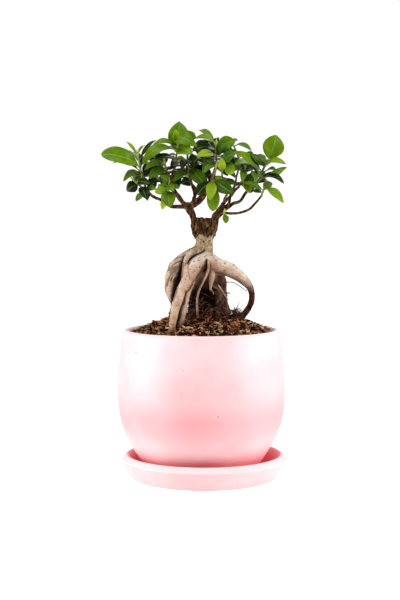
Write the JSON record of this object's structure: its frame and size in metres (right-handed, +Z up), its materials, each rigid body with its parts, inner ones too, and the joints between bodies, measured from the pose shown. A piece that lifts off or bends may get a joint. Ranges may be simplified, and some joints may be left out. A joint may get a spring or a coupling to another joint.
{
  "type": "ginseng ficus in a pot",
  "caption": "Small grafted ginseng ficus with swollen aerial roots and a leafy crown, in a round-bellied pot that stands on a matching saucer.",
  "frame": {"origin": "on the table, at the centre of the pot's round section", "axes": "+Z up, +X to the right as the picture shows it, +Y to the back"},
  "size_m": [0.1625, 0.1568, 0.321],
  "materials": {
    "saucer_ceramic": "matt pink glaze",
    "pot_ceramic": "matt pink glaze",
    "bark_soil": "damp bark and peat",
    "ficus_wood": "pale root skin and brown bark",
    "ficus_leaf": "waxy leaf"
  },
  "bodies": {
    "root": {"saucer": "saucer_ceramic", "pot": "pot_ceramic", "soil": "bark_soil", "trunk": "ficus_wood", "shoot_left": "ficus_leaf", "shoot_low_left": "ficus_leaf", "shoot_hanging_left": "ficus_leaf", "shoot_upper_left": "ficus_leaf", "shoot_mid_left": "ficus_leaf", "shoot_centre": "ficus_leaf", "shoot_top": "ficus_leaf", "shoot_front_centre": "ficus_leaf", "shoot_front_right": "ficus_leaf", "shoot_mid_right": "ficus_leaf", "shoot_upper_right": "ficus_leaf", "shoot_right": "ficus_leaf", "shoot_low_right": "ficus_leaf", "shoot_low": "ficus_leaf", "shoot_inner": "ficus_leaf", "shoot_back_left": "ficus_leaf", "shoot_back_centre": "ficus_leaf", "shoot_back_right": "ficus_leaf", "shoot_far_back": "ficus_leaf"}
  },
  "joints": []
}
